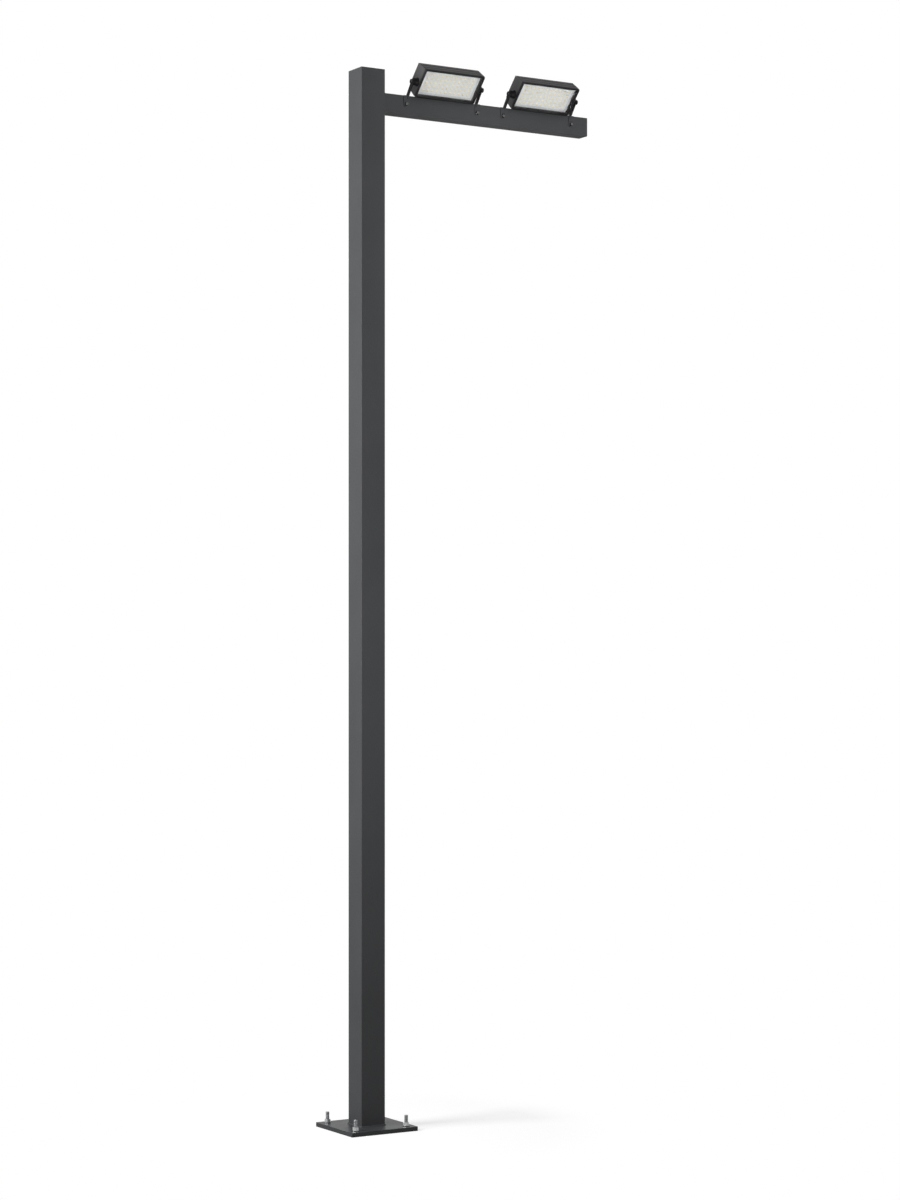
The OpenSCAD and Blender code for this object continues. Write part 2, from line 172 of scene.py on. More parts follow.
def powder_coat(name, colour, grain=PEEL_SCALE, rough=COAT_ROUGH, sheen=0.32):
    """Satin powder coat: cloudy tone, orange-peel relief and uneven gloss."""
    material, tree, shader = new_material(name)
    shader.inputs["Specular IOR Level"].default_value = sheen
    tone = uneven_tone(tree, noise(tree, CLOUD_SCALE, detail=6.0), colour, 0.1)
    tree.links.new(tone, shader.inputs["Base Color"])
    gloss = noise(tree, GLOSS_SCALE, detail=8.0, roughness=0.7)
    tree.links.new(spread(tree, gloss, *rough), shader.inputs["Roughness"])
    bump(tree, noise(tree, grain, detail=2.0), PEEL_RELIEF, COAT_BUMP, shader)
    return material


def extruded(name, colour):
    """Coated aluminium section: faint streaks along X, satin, with less sheen than the steel's coat."""
    material, tree, shader = new_material(name)
    streak = noise(tree, STREAK_SCALE, detail=6.0, roughness=0.7, stretch=ALONG_X)
    tone = ramp(tree, streak, [(0.35, shade(colour, 0.75)), (0.65, shade(colour, 1.2))])
    tree.links.new(tone, shader.inputs["Base Color"])
    gloss = noise(tree, 30.0, detail=6.0)
    tree.links.new(spread(tree, gloss, *COAT_ROUGH), shader.inputs["Roughness"])
    shader.inputs["Specular IOR Level"].default_value = 0.3
    bump(tree, noise(tree, FINE_SCALE, detail=2.0), FINE_RELIEF, COAT_BUMP, shader)
    return material


def pivot_shade_coat(name, colour, shade_colour, pivot, shade_r):
    """Satin coat with painted shade: darker and duller within a radius of the pivot's axis along X."""
    material, tree, shader = new_material(name)
    flat = tree.nodes.new("ShaderNodeVectorMath")
    flat.operation = "MULTIPLY"
    flat.inputs[1].default_value = (0.0, 1.0, 1.0)
    tree.links.new(object_coords(tree), flat.inputs[0])
    away = tree.nodes.new("ShaderNodeVectorMath")
    away.operation = "DISTANCE"
    away.inputs[1].default_value = (0.0, pivot[1], pivot[2])
    tree.links.new(flat.outputs["Vector"], away.inputs[0])
    # Painted shade: the mask of points within the radius of the pivot's axis.
    inside = combine(tree, "LESS_THAN", away.outputs["Value"], shade_r)
    cloud = noise(tree, 8.0, detail=6.0)
    mix = tree.nodes.new("ShaderNodeMixRGB")
    tree.links.new(inside, mix.inputs["Fac"])
    tree.links.new(uneven_tone(tree, cloud, colour, 0.12), mix.inputs["Color1"])
    tree.links.new(uneven_tone(tree, cloud, shade_colour, 0.2), mix.inputs["Color2"])
    tree.links.new(mix.outputs["Color"], shader.inputs["Base Color"])
    gloss = noise(tree, 40.0, detail=6.0)
    tree.links.new(spread(tree, gloss, *COAT_ROUGH), shader.inputs["Roughness"])
    # Less sheen inside the painted shade.
    tree.links.new(spread(tree, inside, 0.3, 0.1), shader.inputs["Specular IOR Level"])
    bump(tree, noise(tree, FINE_SCALE, detail=2.0), FINE_RELIEF, COAT_BUMP, shader)
    return material


def plated(name, colour, rough):
    """Plated steel: crystals of slightly different tone, metallic, with fine pits."""
    material, tree, shader = new_material(name)
    cells = tree.nodes.new("ShaderNodeTexVoronoi")
    cells.inputs["Scale"].default_value = CRYSTAL_SCALE
    tree.links.new(object_coords(tree), cells.inputs["Vector"])
    split = tree.nodes.new("ShaderNodeSeparateColor")
    tree.links.new(cells.outputs["Color"], split.inputs["Color"])
    tone = ramp(tree, split.outputs["Red"], [(0.0, shade(colour, 0.78)), (1.0, shade(colour, 1.08))])
    tree.links.new(tone, shader.inputs["Base Color"])
    shader.inputs["Metallic"].default_value = 1.0
    tree.links.new(spread(tree, noise(tree, 180.0), *rough), shader.inputs["Roughness"])
    bump(tree, noise(tree, PIT_SCALE), PIT_RELIEF, PIT_BUMP, shader)
    return material


def moulded(name, colour, rough, grain=1500.0, uneven=0.14):
    """Moulded plastic or rubber: fine grain, slightly uneven tone."""
    material, tree, shader = new_material(name)
    tree.links.new(uneven_tone(tree, noise(tree, 60.0), colour, uneven), shader.inputs["Base Color"])
    tree.links.new(spread(tree, noise(tree, 240.0), *rough), shader.inputs["Roughness"])
    bump(tree, noise(tree, grain), MOULD_RELIEF, MOULD_BUMP, shader)
    return material


def clear_glass(name):
    """Tempered front glass with a faint haze of dust."""
    material, tree, shader = new_material(name)
    shader.inputs["Base Color"].default_value = (*GLASS_TINT, 1.0)
    shader.inputs["Transmission Weight"].default_value = 1.0
    shader.inputs["IOR"].default_value = GLASS_IOR
    dust = noise(tree, 30.0, detail=8.0)
    tree.links.new(spread(tree, dust, *HAZE), shader.inputs["Roughness"])
    return material


def lens_plastic(name):
    """Clear lens over a warm emitter: the emitter's colour fades out from the middle of each dome."""
    material, tree, shader = new_material(name)
    warmth = tree.nodes.new("ShaderNodeAttribute")
    warmth.attribute_name = WARMTH
    tone = ramp(tree, warmth.outputs["Fac"], [(0.0, LENS_RIM), (0.08, LENS_RIM), (0.4, LENS_CORE)])
    tree.links.new(tone, shader.inputs["Base Color"])
    tree.links.new(spread(tree, noise(tree, 400.0), 0.08, 0.2), shader.inputs["Roughness"])
    shader.inputs["Coat Weight"].default_value = 0.6
    shader.inputs["Coat Roughness"].default_value = 0.05
    return material


COAT = (0.050, 0.0515, 0.054)
# Painted shade: the brackets' straps near the pivot, near-black as if backlit.
STRAP_SHADE = (0.012, 0.012, 0.012)
LAMP = (0.040, 0.040, 0.040)
# Painted light: end plates lighter than the housing, as if lit from the side.
END_PLATE = (0.057, 0.057, 0.0575)
BEZEL = (0.010, 0.010, 0.010)
ZINC = (0.80, 0.805, 0.81)
STUD_ZINC = (0.33, 0.335, 0.34)
# Painted shade: washers darker than the nuts, a contact shadow under each nut.
WASHER_SHADE_ZINC = (0.10, 0.101, 0.102)
# Painted shade: the boss on each end plate around the pivot, near-black.
BOSS_SHADE = (0.006, 0.006, 0.006)
BLACK_STEEL = (0.02, 0.02, 0.0205)
GREY_STEEL = (0.13, 0.13, 0.132)
RUBBER = (0.012, 0.012, 0.012)
NYLON = (0.018, 0.018, 0.019)
BOARD = (0.75, 0.75, 0.745)
SILVER = (0.65, 0.655, 0.665)
LENS_RIM = (1.0, 0.945, 0.80)
LENS_CORE = (1.0, 0.845, 0.46)
BOSS_SHADE_R = 0.0233
STRAP_SHADE_R = 0.078
PIVOT = frame["joints"][0]["pos_m"]
WARMTH = "warmth"

coat = powder_coat("powder_coat", COAT)
foot_coat = powder_coat("foot_coat", COAT, rough=SATIN_ROUGH, sheen=0.18)
# Bracket coat with painted shade on the strap near the pivot, as if backlit; the foot keeps the arm's coat
# colour.
bracket_coat = pivot_shade_coat("bracket_coat", COAT, STRAP_SHADE, PIVOT, STRAP_SHADE_R)
lamp_coat = extruded("lamp_coat", LAMP)
# End plate coat: painted light in its lighter tone, painted shade on the boss around the pivot.
plate_coat = pivot_shade_coat("end_plate_painted_light_and_shade", END_PLATE, BOSS_SHADE, PIVOT, BOSS_SHADE_R)
bezel_coat = powder_coat("bezel_coat", BEZEL, grain=FINE_SCALE, rough=SATIN_ROUGH, sheen=0.25)
zinc_bright = plated("zinc", ZINC, ZINC_ROUGH)
zinc_dull = plated("zinc_dull", STUD_ZINC, ZINC_ROUGH)
# Dark plated zinc for the washers: painted contact shadow under the nuts.
zinc_contact_shade = plated("zinc_contact_shade", WASHER_SHADE_ZINC, ZINC_ROUGH)
bolt_black = plated("black_steel", BLACK_STEEL, BOLT_ROUGH)
bolt_grey = plated("grey_steel", GREY_STEEL, BOLT_ROUGH)
rubber = moulded("rubber", RUBBER, (0.6, 0.8))
nylon = moulded("nylon", NYLON, (0.4, 0.55))
board_white = moulded("board_white", BOARD, (0.3, 0.45), grain=500.0, uneven=0.03)
silver = moulded("silver", SILVER, (0.22, 0.32), grain=500.0, uneven=0.05)
glass = clear_glass("glass")
lens = lens_plastic("lens")


def paint(material, *names):
    """Gives CAD nodes this material."""
    for name in names:
        mesh = nodes[name].data
        mesh.materials.clear()
        mesh.materials.append(material)


paint(foot_coat, "base_plate")
for i in ANCHORS:
    paint(zinc_bright, f"anchor_nut_{i}")
    paint(zinc_contact_shade, f"anchor_washer_{i}")
for n in LAMPS:
    paint(lamp_coat, f"housing_{n}")
    paint(bezel_coat, f"bezel_{n}")
    paint(nylon, f"cable_gland_{n}")
    paint(glass, f"glass_{n}")
    for hand in HANDS:
        paint(bracket_coat, f"bracket_{n}_{hand}")
        paint(plate_coat, f"end_plate_{n}_{hand}")
        paint(bolt_grey, f"pivot_bolt_{n}_{hand}")


PLATE_EDGE = 0.0015
FASTENER_EDGE = 0.0004
LAMP_EDGE = 0.0006
EDGE_SEGMENTS = 2
MERGE_DISTANCE = 1e-6
FLAT_ANGLE = math.radians(0.5)


def soften(width, *names):
    """Rounds the sharp edges of CAD nodes."""
    for name in names:
        part = nodes[name]
        weld = part.modifiers.new("weld", "WELD")
        weld.merge_threshold = MERGE_DISTANCE
        flat = part.modifiers.new("flat", "DECIMATE")
        flat.decimate_type = "DISSOLVE"
        flat.angle_limit = FLAT_ANGLE
        bevel = part.modifiers.new("bevel", "BEVEL")
        bevel.width = width
        bevel.segments = EDGE_SEGMENTS
        bevel.limit_method = "ANGLE"
        bevel.angle_limit = SMOOTH_ANGLE
        bevel.harden_normals = True


soften(PLATE_EDGE, "base_plate")
for i in ANCHORS:
    soften(FASTENER_EDGE, f"anchor_washer_{i}", f"anchor_nut_{i}")
for n in LAMPS:
    soften(LAMP_EDGE, f"housing_{n}")
    for hand in HANDS:
        soften(LAMP_EDGE, f"bracket_{n}_{hand}", f"end_plate_{n}_{hand}")


# Mesh helpers

CORNERS = ((1, 1), (-1, 1), (-1, -1), (1, -1))
MIN_CORNER_STEPS = 3


def loft(bm, loops, closed=False, material=0):
    """Quads between loops of points that have equal counts, with end faces unless the loft is closed."""
    rows = [[bm.verts.new(point) for point in loop] for loop in loops]
    pairs = list(zip(rows, rows[1:]))
    if closed:
        pairs.append((rows[-1], rows[0]))
    faces = []
    for low, high in pairs:
        for k in range(len(low)):
            after = (k + 1) % len(low)
            faces.append(bm.faces.new((low[k], low[after], high[after], high[k])))
    if not closed:
        faces.append(bm.faces.new(list(reversed(rows[0]))))
        faces.append(bm.faces.new(rows[-1]))
    for face in faces:
        face.material_index = material
        face.smooth = True
    return rows


def ring(place, z, radius, segments):
    """Loop of points around Z in a frame; the radius is a number or a function of the angle."""
    points = []
    for k in range(segments):
        angle = 2 * math.pi * k / segments
        r = radius(angle) if callable(radius) else radius
        points.append(place @ Vector((r * math.cos(angle), r * math.sin(angle), z)))
    return points


def rim(w, h, r, step):
    """(point, outward direction) pairs around a rectangle with round corners, about a step apart."""
    path = []
    for turn, (sx, sy) in enumerate(CORNERS):
        middle = Vector((sx * (w / 2 - r), sy * (h / 2 - r)))
        count = max(MIN_CORNER_STEPS, round(r * math.pi / 2 / step))
        for k in range(count + 1):
            angle = math.pi / 2 * (turn + k / count)
            out = Vector((math.cos(angle), math.sin(angle)))
            path.append((middle + r * out, out))
        start, out = path[-1]
        run = (h if turn % 2 else w) - 2 * r
        along = Vector((-out.y, out.x))
        count = max(1, round(run / step))
        for k in range(1, count):
            path.append((start + along * run * k / count, out))
    return path


def add_piece(name, bm, materials, body, slot, *replaced):
    """Makes a bmesh into a piece that rides on a body, and stands for CAD nodes where some are named."""
    bmesh.ops.recalc_face_normals(bm, faces=bm.faces)
    mesh = bpy.data.meshes.new(name)
    bm.to_mesh(mesh)
    bm.free()
    mesh.set_sharp_from_angle(angle=SMOOTH_ANGLE)
    for material in materials:
        mesh.materials.append(material)
    part = bpy.data.objects.new(name, mesh)
    bpy.context.collection.objects.link(part)
    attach(part, body)
    if replaced:
        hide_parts(*replaced)
    return part


def lamp_frame(n):
    """Frame of floodlight n as it looks with its lens upright: origin on the pivot, front at -Y."""
    joint = frame["joints"][n - 1]
    lean = math.radians(-joint["range_deg"][0])
    return Matrix.Translation(joint["pos_m"]) @ Matrix.Rotation(lean, 4, "X")


def box_in(node, place):
    """Lowest and highest corner of a CAD node, measured in another frame."""
    back = place.inverted()
    points = [back @ v.co for v in nodes[node].data.vertices]
    low = Vector([min(p[axis] for p in points) for axis in range(3)])
    high = Vector([max(p[axis] for p in points) for axis in range(3)])
    return low, high


# Threaded anchor studs

THREAD_PITCH = 0.0025
THREAD_DEPTH = 0.00135
ROWS_PER_PITCH = 8
STUD_SEGMENTS = 40
STUD_SHANK_R = 0.0092
STUD_CHAMFER = 0.002


def thread_radius(z, top, crest):
    """Radius of the thread at height z as a function of the angle, chamfered at the top."""
    limit = crest - max(0.0, z - (top - STUD_CHAMFER))

    def radius(angle):
        phase = (z / THREAD_PITCH - angle / (2 * math.pi)) % 1.0
        flank = abs(2 * phase - 1)
        return min(crest - THREAD_DEPTH * flank, limit)

    return radius


def anchor_stud(n):
    """Stud with a plain shank in the plate and nut, and a thread above them."""
    low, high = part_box(f"anchor_stud_{n}")
    nut_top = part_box(f"anchor_nut_{n}")[1].z
    middle = (low + high) / 2
    place = Matrix.Translation((middle.x, middle.y, 0.0))
    crest = (high.x - low.x) / 2
    loops = [ring(place, z, STUD_SHANK_R, STUD_SEGMENTS) for z in (low.z, nut_top)]
    rows = round((high.z - nut_top) / THREAD_PITCH * ROWS_PER_PITCH)
    for k in range(1, rows + 1):
        z = nut_top + (high.z - nut_top) * k / rows
        loops.append(ring(place, z, thread_radius(z, high.z, crest), STUD_SEGMENTS))
    bm = bmesh.new()
    loft(bm, loops)
    add_piece(f"threaded_stud_{n}", bm, [zinc_dull], "column", "zinc", f"anchor_stud_{n}")


for i in ANCHORS:
    anchor_stud(i)


# Weld beads

RIPPLE_PITCH = 0.0035
RIPPLE_CURVE_SHARE = 0.8
RIPPLE_RISE_SHARE = 0.10
BULGE_SHARE = 0.16
BEAD_STEP = 0.0006
BEAD_POINTS = 8
TUBE_CORNER_R = 0.003


def bead_section(travel, leg):
    """(out, up) points across the bead, with the crescent ripple of the pass at this travel."""
    points = [(0.0, 0.0)]
    for k in range(BEAD_POINTS + 1):
        t = k / BEAD_POINTS
        crown = math.sin(math.pi * t)
        phase = travel / RIPPLE_PITCH - RIPPLE_CURVE_SHARE * crown
        ripple = abs(math.sin(math.pi * phase))
        rise = leg * (BULGE_SHARE * crown + RIPPLE_RISE_SHARE * crown * ripple)
        points.append((leg * (1 - t) + rise, leg * t + rise))
    return points


def weld_bead(name, place, w, h, r, leg, node):
    """Bead around a tube of w by h that stands on the plane z = 0 of a frame."""
    bm = bmesh.new()
    loops = []
    travel = 0.0
    last = None
    for point, out in rim(w, h, r, BEAD_STEP):
        if last is not None:
            travel += (point - last).length
        last = point
        loop = []
        for away, up in bead_section(travel, leg):
            spot = point + out * away
            loop.append(place @ Vector((spot.x, spot.y, up)))
        loops.append(loop)
    loft(bm, loops, closed=True)
    add_piece(name, bm, [coat], "column", "powder_coat", node)


def weld_beads():
    """Beads at the foot of the post and at the arm's end on the post."""
    post_low, post_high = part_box("post")
    weld_low, weld_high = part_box("post_weld")
    w = post_high.x - post_low.x
    leg = weld_high.z - weld_low.z
    foot = Matrix.Translation((0.0, 0.0, weld_low.z))
    weld_bead("post_weld_bead", foot, w, w, TUBE_CORNER_R, leg, "post_weld")
    arm_low, arm_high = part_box("arm")
    size = arm_high - arm_low
    middle = (arm_high + arm_low) / 2
    face = Matrix.Translation((arm_low.x, 0.0, middle.z)) @ Matrix.Rotation(math.pi / 2, 4, "Y")
    weld_bead("arm_weld_bead", face, size.z, size.y, TUBE_CORNER_R, leg, "arm_weld")


weld_beads()


# Flange bolts

BOLT_AF = 0.016
BOLT_R = 0.005
FLANGE_R = 0.0105
FLANGE_EDGE = 0.0008
FLANGE_T = 0.002
FLANGE_TOP_R = 0.0096
HEAD_H = 0.006
HEAD_CORNER_R = BOLT_AF / 2 / math.cos(math.pi / 6)
CHAMFER_SLOPE = math.tan(math.pi / 6)
CHAMFER_STEPS = 4
BOLT_SEGMENTS = 72
HEAD_MATERIAL = 1


def bolt_hexagon(limit):
    """Radius of the bolt's hexagon at an angle, turned down to a limit at its corners."""
    sixth = math.pi / 3

    def radius(angle):
        off = (angle + sixth / 2) % sixth - sixth / 2
        return min(BOLT_AF / 2 / math.cos(off), limit)

    return radius


def flange_bolt(bm, place, shank):
    """Bolt along Z in a frame, with its flange on the plane z = 0 and the head above it."""
    top = FLANGE_T + HEAD_H
    turned = (HEAD_CORNER_R - BOLT_AF / 2) * CHAMFER_SLOPE
    loops = [ring(place, z, BOLT_R, BOLT_SEGMENTS) for z in (-shank, 0.0)]
    for z, r in ((0.0, FLANGE_R), (FLANGE_EDGE, FLANGE_R), (FLANGE_T, FLANGE_TOP_R)):
        loops.append(ring(place, z, r, BOLT_SEGMENTS))
    below = len(loops)
    loops.append(ring(place, FLANGE_T, bolt_hexagon(HEAD_CORNER_R), BOLT_SEGMENTS))
    for k in range(CHAMFER_STEPS + 1):
        fall = turned * (1 - k / CHAMFER_STEPS)
        limit = BOLT_AF / 2 + fall / CHAMFER_SLOPE
        loops.append(ring(place, top - fall, bolt_hexagon(limit), BOLT_SEGMENTS))
    rows = loft(bm, loops)
    head = {vert for row in rows[below:] for vert in row}
    for face in bm.faces:
        if head.issuperset(face.verts):
            face.material_index = HEAD_MATERIAL


def bolt_seats(n):
    """Frames of floodlight n's foot bolts, on the face under the flange with Z to the front."""
    low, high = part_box(f"foot_bolts_{n}")
    y = low.y + FLANGE_T + HEAD_H
    turn = Matrix.Rotation(math.pi / 2, 4, "X")
    z = (low.z + high.z) / 2
    return [Matrix.Translation((x, y, z)) @ turn for x in (low.x + FLANGE_R, high.x - FLANGE_R)]


def foot_bolts(n):
    """Both foot bolts of floodlight n, with black flanges and grey heads."""
    node = f"foot_bolts_{n}"
    low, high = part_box(node)
    bm = bmesh.new()
    for seat in bolt_seats(n):
        flange_bolt(bm, seat, high.y - low.y - FLANGE_T - HEAD_H)
    add_piece(f"foot_screws_{n}", bm, [bolt_black, bolt_grey], "column", "bolt_steel", node)


for n in LAMPS:
    foot_bolts(n)


# Tubes and their caps, with tighter corners than the solids have

POST_WALL = 0.005
ARM_WALL = 0.004
TUBE_INNER_R = 0.002
CORNER_FACETS = 5
CAP_EDGE = 0.0012
CAP_EDGE_STEPS = 3
BOLT_HOLE_R = 0.00525
HOLE_SEGMENTS = 32


def section_loop(place, size, inset, r, z):
    """Loop around a rectangle with round corners, pulled in by an inset, at height z in a frame."""
    points = []
    for turn, (sx, sy) in enumerate(CORNERS):
        for k in range(CORNER_FACETS + 1):
            angle = math.pi / 2 * (turn + k / CORNER_FACETS)
            x = sx * (size[0] / 2 - inset - r) + r * math.cos(angle)
            y = sy * (size[1] / 2 - inset - r) + r * math.sin(angle)
            points.append(place @ Vector((x, y, z)))
    return points


def add_flat_piece(name, bm, node):
    """Coated piece of the column whose large faces keep their flat shading beside round corners."""
    part = add_piece(name, bm, [coat], "column", "powder_coat", node)
    part.modifiers.new("flat", "WEIGHTED_NORMAL").keep_sharp = True
    return part


def tube(name, place, size, length, wall, node):
    """Tube along Z in a frame, in place of a node."""
    loops = [section_loop(place, size, 0.0, TUBE_CORNER_R, z) for z in (0.0, length)]
    loops += [section_loop(place, size, wall, TUBE_INNER_R, z) for z in (length, 0.0)]
    bm = bmesh.new()
    loft(bm, loops, closed=True)
    return add_flat_piece(name, bm, node)


def cap(name, place, size, length, node):
    """Cap on a tube along Z in a frame, with its outer edge rounded, in place of a node."""
    loops = [section_loop(place, size, 0.0, TUBE_CORNER_R, 0.0)]
    for k in range(CAP_EDGE_STEPS + 1):
        angle = math.pi / 2 * k / CAP_EDGE_STEPS
        inset = CAP_EDGE * (1 - math.cos(angle))
        z = length - CAP_EDGE * (1 - math.sin(angle))
        loops.append(section_loop(place, size, inset, TUBE_CORNER_R - inset, z))
    bm = bmesh.new()
    loft(bm, loops)
    return add_flat_piece(name, bm, node)


def bore_bolt_holes(part, wall):
    """Cuts the foot bolts' holes through the front wall of the arm."""
    bm = bmesh.new()
    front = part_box("arm")[0].y
    for n in LAMPS:
        for seat in bolt_seats(n):
            face = front - seat.translation.y
            loft(bm, [ring(seat, -z, BOLT_HOLE_R, HOLE_SEGMENTS) for z in (2 * wall + face, face - wall)])
    bmesh.ops.recalc_face_normals(bm, faces=bm.faces)
    mesh = bpy.data.meshes.new("holes")
    bm.to_mesh(mesh)
    bm.free()
    cutter = bpy.data.objects.new("holes", mesh)
    bpy.context.collection.objects.link(cutter)
    cut = part.modifiers.new("holes", "BOOLEAN")
    cut.object = cutter
    bpy.context.view_layer.update()
    graph = bpy.context.evaluated_depsgraph_get()
    bored = bpy.data.meshes.new_from_object(part.evaluated_get(graph))
    part.modifiers.remove(cut)
    part.data = bored
    bpy.data.objects.remove(cutter)


def tubes():
    """Post and arm with their caps, in the boxes of the solids they stand for."""
    low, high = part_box("post")
    size = high - low
    foot = Matrix.Translation((0.0, 0.0, low.z))
    tube("post_tube", foot, (size.x, size.y), size.z, POST_WALL, "post")
    cap_low, cap_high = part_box("post_cap")
    top = Matrix.Translation((0.0, 0.0, cap_low.z))
    cap("post_lid", top, (size.x, size.y), cap_high.z - cap_low.z, "post_cap")
    low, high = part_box("arm")
    size = high - low
    middle = (low + high) / 2
    turn = Matrix.Rotation(math.pi / 2, 4, "Y")
    start = Matrix.Translation((low.x, middle.y, middle.z)) @ turn
    arm = tube("arm_tube", start, (size.z, size.y), size.x, ARM_WALL, "arm")
    bore_bolt_holes(arm, ARM_WALL)
    cap_low, cap_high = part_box("arm_end_cap")
    end = Matrix.Translation((cap_low.x, middle.y, middle.z)) @ turn
    cap("arm_lid", end, (size.z, size.y), cap_high.x - cap_low.x, "arm_end_cap")


tubes()


# Light engine: board with lenses and a silver border, and the window's seal

LED_COLS = 11
LED_ROWS = 5
LED_SIDE = 0.028
LED_EDGE = 0.021
LENS_R = 0.0065
LENS_H = 0.006
LENS_SKIRT = 0.0018
LENS_DIMPLE_SHARE = 0.08
LENS_DIMPLE_R_SHARE = 0.3
LENS_RINGS = 8
LENS_TOP_RING_SHARE = 0.5
LENS_SEGMENTS = 24
LENS_MATERIAL = 1
TINT_LOW, TINT_HIGH = 0.8, 1.15
BOARD_T = 0.002
BOARD_EDGE = BOARD_T / 4
BOARD_CORNER_R = 0.003
BORDER_W = 0.013
BORDER_T = 0.0016
BORDER_EDGE = BORDER_T / 2
BORDER_CORNER_R = BORDER_W + LENS_R
WINDOW_ROOM = 0.003
SEAL_W = 0.0012
SEAL_T = 0.0008
WINDOW_CORNER_R = 0.004
LONG_STEP = 1.0


def board_place(n):
    """Frame in the middle of floodlight n's board, the board's width and height, and the y of its back."""
    place = lamp_frame(n)
    low, high = box_in(f"led_board_{n}", place)
    middle = (low + high) / 2
    centre = place @ Matrix.Translation((middle.x, 0.0, middle.z))
    return centre, high.x - low.x, high.z - low.z, high.y


def window_loop(place, w, h, inset, y, corner_r):
    """Loop around the window at depth y, set in from a rectangle of w by h."""
    loop = []
    for point, out in rim(w, h, corner_r, LONG_STEP):
        spot = point - out * inset
        loop.append(place @ Vector((spot.x, y, spot.y)))
    return loop


def lens_dome(bm, place, warmth_layer, tint):
    """Dome with a short skirt, a small flat top and a dimple over the emitter."""
    loops = [ring(place, 0.0, LENS_R, LENS_SEGMENTS), ring(place, LENS_SKIRT, LENS_R, LENS_SEGMENTS)]
    shares = [1.0, 1.0]
    for k in range(1, LENS_RINGS + 1):
        angle = math.pi / 2 * k / (LENS_RINGS + LENS_TOP_RING_SHARE)
        share = math.cos(angle)
        dip = LENS_DIMPLE_SHARE * LENS_H * math.exp(-((share / LENS_DIMPLE_R_SHARE) ** 2))
        z = LENS_SKIRT + (LENS_H - LENS_SKIRT) * math.sin(angle) - dip
        loops.append(ring(place, z, LENS_R * share, LENS_SEGMENTS))
        shares.append(share)
    rows = loft(bm, loops, material=LENS_MATERIAL)
    for row, share in zip(rows, shares):
        for vert in row:
            vert[warmth_layer] = (1 - share) * tint


def led_panel(n):
    """Board with its grid of lenses, each with a warmth of its own."""
    centre, w, h, back_y = board_place(n)
    face_y = back_y - BOARD_T
    bm = bmesh.new()
    warmth_layer = bm.verts.layers.float.new(WARMTH)
    section = ((0.0, back_y), (0.0, face_y + BOARD_EDGE), (BOARD_EDGE, face_y))
    loft(bm, [window_loop(centre, w, h, inset, y, BOARD_CORNER_R) for inset, y in section])
    step_x = (w - 2 * LED_SIDE - 2 * LENS_R) / (LED_COLS - 1)
    step_z = (h - 2 * LED_EDGE - 2 * LENS_R) / (LED_ROWS - 1)
    outward = Matrix.Rotation(math.pi / 2, 4, "X")
    draw = random.Random(n)
    for col in range(LED_COLS):
        for row in range(LED_ROWS):
            x = (col - (LED_COLS - 1) / 2) * step_x
            z = (row - (LED_ROWS - 1) / 2) * step_z
            spot = centre @ Matrix.Translation((x, face_y, z)) @ outward
            lens_dome(bm, spot, warmth_layer, draw.uniform(TINT_LOW, TINT_HIGH))
    add_piece(f"led_panel_{n}", bm, [board_white, lens], f"floodlight_{n}", "led_board", f"led_board_{n}")


def border(n):
    """Silver frame that lies on the edge of the board."""
    centre, w, h, back_y = board_place(n)
    back = back_y - BOARD_T
    front = back - BORDER_T
    section = (
        (BORDER_EDGE, back), (BORDER_EDGE, front + BORDER_EDGE), (2 * BORDER_EDGE, front),
        (BORDER_W - 2 * BORDER_EDGE, front), (BORDER_W, back),
    )
    bm = bmesh.new()
    loft(bm, [window_loop(centre, w, h, inset, y, BORDER_CORNER_R) for inset, y in section], closed=True)
    add_piece(f"led_border_{n}", bm, [silver], f"floodlight_{n}", "led_board")


def seal(n):
    """Black rubber seal on the glass, inside the bezel's window."""
    centre, board_w, board_h, _ = board_place(n)
    w, h = board_w + 2 * WINDOW_ROOM, board_h + 2 * WINDOW_ROOM
    face = box_in(f"glass_{n}", lamp_frame(n))[0].y
    bm = bmesh.new()
    section = ((0.0, face), (0.0, face - SEAL_T), (SEAL_W / 2, face - SEAL_T), (SEAL_W, face))
    loft(bm, [window_loop(centre, w, h, inset, y, WINDOW_CORNER_R) for inset, y in section], closed=True)
    add_piece(f"window_seal_{n}", bm, [rubber], f"floodlight_{n}", "gland")


for n in LAMPS:
    led_panel(n)
    border(n)
    seal(n)


# Stage, light and camera

def light_path_share(tree, shares):
    """Largest of the shares whose kind of ray, by its Light Path output, is the one in use."""
    path = tree.nodes.new("ShaderNodeLightPath")
    total = None
    for output, share in shares.items():
        scaled = combine(tree, "MULTIPLY", path.outputs[output], share)
        total = scaled if total is None else combine(tree, "MAXIMUM", total, scaled)
    return total


FLOOR_HALF = 60.0
FLOOR_WHITE = (1.5, 1.5, 1.5)
FLOOR_BOUNCE = (0.45, 0.45, 0.45)
FLOOR_ROUGH = 0.9
FLOOR_SHARES = {"Is Camera Ray": 0.68, "Is Glossy Ray": 0.1, "Is Transmission Ray": 1.0}
CAMERA_ONLY = {"Is Camera Ray": 1.0}
FADE_NEAR, FADE_FAR = 0.35, 1.3
WORLD_LIGHT = 0.26
WORLD_SHARES = {"Is Camera Ray": 1.0, "Is Glossy Ray": 1.0, "Is Transmission Ray": 1.0}


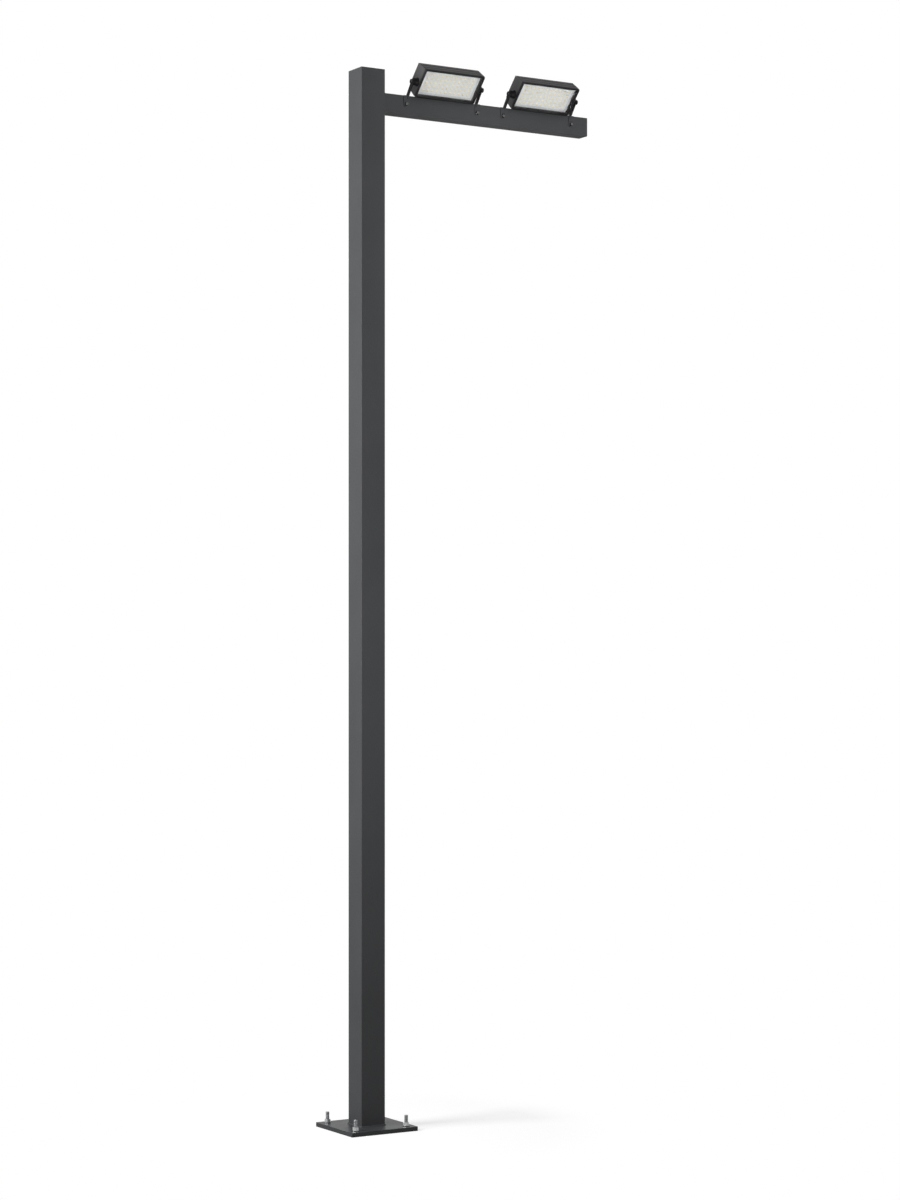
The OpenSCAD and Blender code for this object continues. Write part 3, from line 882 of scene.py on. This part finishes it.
def floor():
    """White floor that keeps shadows and shows pale to the eye, to gloss and through glass."""
    mesh = bpy.data.meshes.new("floor")
    corners = [(-1, -1), (1, -1), (1, 1), (-1, 1)]
    mesh.from_pydata([(x * FLOOR_HALF, y * FLOOR_HALF, 0) for x, y in corners], [], [(0, 1, 2, 3)])
    stage = bpy.data.objects.new("floor", mesh)
    bpy.context.collection.objects.link(stage)
    material, tree, shader = new_material("floor_white")
    tone = tree.nodes.new("ShaderNodeMixRGB")
    tone.inputs["Color1"].default_value = (*FLOOR_BOUNCE, 1.0)
    tone.inputs["Color2"].default_value = (*FLOOR_WHITE, 1.0)
    tree.links.new(light_path_share(tree, CAMERA_ONLY), tone.inputs["Fac"])
    tree.links.new(tone.outputs["Color"], shader.inputs["Base Color"])
    shader.inputs["Roughness"].default_value = FLOOR_ROUGH
    shader.inputs["Specular IOR Level"].default_value = 0.0
    glow = tree.nodes.new("ShaderNodeEmission")
    mix = tree.nodes.new("ShaderNodeMixShader")
    away = tree.nodes.new("ShaderNodeVectorMath")
    away.operation = "LENGTH"
    tree.links.new(object_coords(tree), away.inputs[0])
    fade = tree.nodes.new("ShaderNodeMapRange")
    fade.interpolation_type = "SMOOTHSTEP"
    fade.inputs["From Min"].default_value = FADE_NEAR
    fade.inputs["From Max"].default_value = FADE_FAR
    tree.links.new(away.outputs["Value"], fade.inputs["Value"])
    far_seen = combine(tree, "MULTIPLY", fade.outputs["Result"], light_path_share(tree, CAMERA_ONLY))
    share = combine(tree, "MAXIMUM", light_path_share(tree, FLOOR_SHARES), far_seen)
    tree.links.new(share, mix.inputs["Fac"])
    tree.links.new(shader.outputs["BSDF"], mix.inputs[1])
    tree.links.new(glow.outputs["Emission"], mix.inputs[2])
    tree.links.new(mix.outputs["Shader"], tree.nodes["Material Output"].inputs["Surface"])
    mesh.materials.append(material)


def world():
    """White surroundings: plain light on the object, full white to the eye, gloss and glass."""
    sky = bpy.data.worlds.new("studio")
    sky.use_nodes = True
    tree = sky.node_tree
    back = tree.nodes["Background"]
    back.inputs["Color"].default_value = (1.0, 1.0, 1.0, 1.0)
    seen = light_path_share(tree, WORLD_SHARES)
    tree.links.new(spread(tree, seen, WORLD_LIGHT, 1.0), back.inputs["Strength"])
    bpy.context.scene.world = sky


def area_light(name, place, target, size, power, beam=180.0):
    """Rectangular light, with its beam narrowed to an angle in degrees."""
    data = bpy.data.lights.new(name, "AREA")
    data.shape = "RECTANGLE"
    data.size, data.size_y = size
    data.energy = power
    data.spread = math.radians(beam)
    lamp = bpy.data.objects.new(name, data)
    lamp.location = place
    lamp.rotation_euler = (Vector(target) - Vector(place)).to_track_quat("-Z", "Y").to_euler()
    bpy.context.collection.objects.link(lamp)


CAMERA_PLACE = Vector((-6.9286, -12.2855, 2.4349))
CAMERA_YAW = math.radians(31.18)
FOCAL_PX = 2712.67
FRAME_H_PX = 1200.0
HORIZON_PX = 660.07
SENSOR_MM = 36.0


def camera():
    """Level camera at the photograph's eye point; the shift puts the horizon where it lies there."""
    data = bpy.data.cameras.new("camera")
    data.sensor_width = SENSOR_MM
    data.lens = FOCAL_PX / FRAME_H_PX * SENSOR_MM
    data.shift_y = (HORIZON_PX - FRAME_H_PX / 2) / FRAME_H_PX
    eye = bpy.data.objects.new("camera", data)
    eye.location = CAMERA_PLACE
    forward = Vector((math.sin(CAMERA_YAW), math.cos(CAMERA_YAW), 0.0))
    eye.rotation_euler = forward.to_track_quat("-Z", "Y").to_euler()
    bpy.context.collection.objects.link(eye)
    bpy.context.scene.camera = eye


camera()
floor()
world()
area_light("key_left", (-7.0, 0.4, 5.0), (0.0, 0.0, 2.0), (3.0, 3.0), 590.0)
area_light("fill_post", (-1.5, -5.5, 2.9), (0.0, 0.0, 2.9), (2.0, 2.0), 18.0, beam=58.0)
area_light("fill_back", (1.2, 6.0, 6.2), (0.75, 0.0, 5.4), (1.5, 1.5), 7.0, beam=40.0)
area_light("fill_lamps", (0.2, -5.0, 1.8), (0.85, -0.1, 5.4), (1.5, 1.5), 8.2, beam=26.0)
bpy.context.scene.view_settings.view_transform = "Standard"
